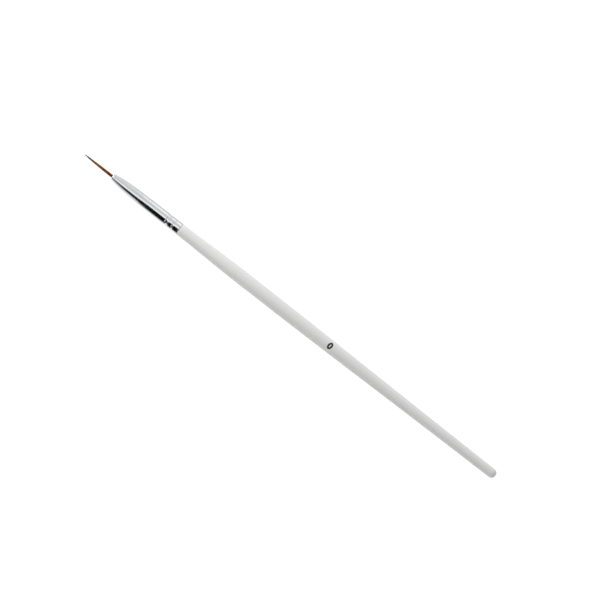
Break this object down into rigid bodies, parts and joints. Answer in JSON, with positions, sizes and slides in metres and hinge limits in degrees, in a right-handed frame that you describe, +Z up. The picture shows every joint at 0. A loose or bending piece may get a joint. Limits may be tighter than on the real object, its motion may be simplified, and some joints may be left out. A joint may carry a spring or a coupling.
{
  "type": "fine detail brush",
  "caption": "Slim hand brush with a dipped round handle, a crimped metal ferrule and a finely pointed hair tuft that bends and springs back.",
  "frame": {"origin": "on the surface the brush rests on, under the middle of its length", "axes": "+X along the brush towards its point, +Z up, with the printed numeral uppermost"},
  "size_m": [0.18, 0.0052, 0.0051],
  "materials": {
    "wood": "bare close-grained hardwood",
    "white_lacquer": "dipped satin-gloss white lacquer",
    "black_ink": "printed black ink",
    "nickel_plate": "polished nickel plate on drawn brass",
    "cement": "set cement film",
    "resin": "set amber resin",
    "thread": "waxed twisted thread",
    "hair": "fine tapered brown hair, dressed to a point"
  },
  "bodies": {
    "handle": {"handle_core": "wood", "handle_lacquer": "white_lacquer", "size_mark": "black_ink", "ferrule": "nickel_plate", "ferrule_glue": "cement", "resin_plug": "resin", "binding_thread": "thread", "tuft_heel": "hair"},
    "belly": {"tuft_belly": "hair"},
    "waist": {"tuft_waist": "hair"},
    "point": {"tuft_point": "hair"}
  },
  "joints": [
    {"name": "base_bend", "type": "hinge", "parent": "handle", "child": "belly", "pos_m": [0.079, 0, 0.00257], "axis": [0, 0, 1], "range_deg": [-30, 30], "stiffness_Nm_per_rad": 0.0005},
    {"name": "lift_bend", "type": "hinge", "parent": "belly", "child": "waist", "pos_m": [0.0826, 0, 0.00257], "axis": [0, 1, 0], "range_deg": [-18, 18], "stiffness_Nm_per_rad": 0.0003},
    {"name": "point_bend", "type": "hinge", "parent": "waist", "child": "point", "pos_m": [0.0862, 0, 0.00257], "axis": [0, 0, 1], "range_deg": [-30, 30]}
  ],
  "couplings": [
    {"joint": "point_bend", "follows": "base_bend", "ratio": 1}
  ]
}
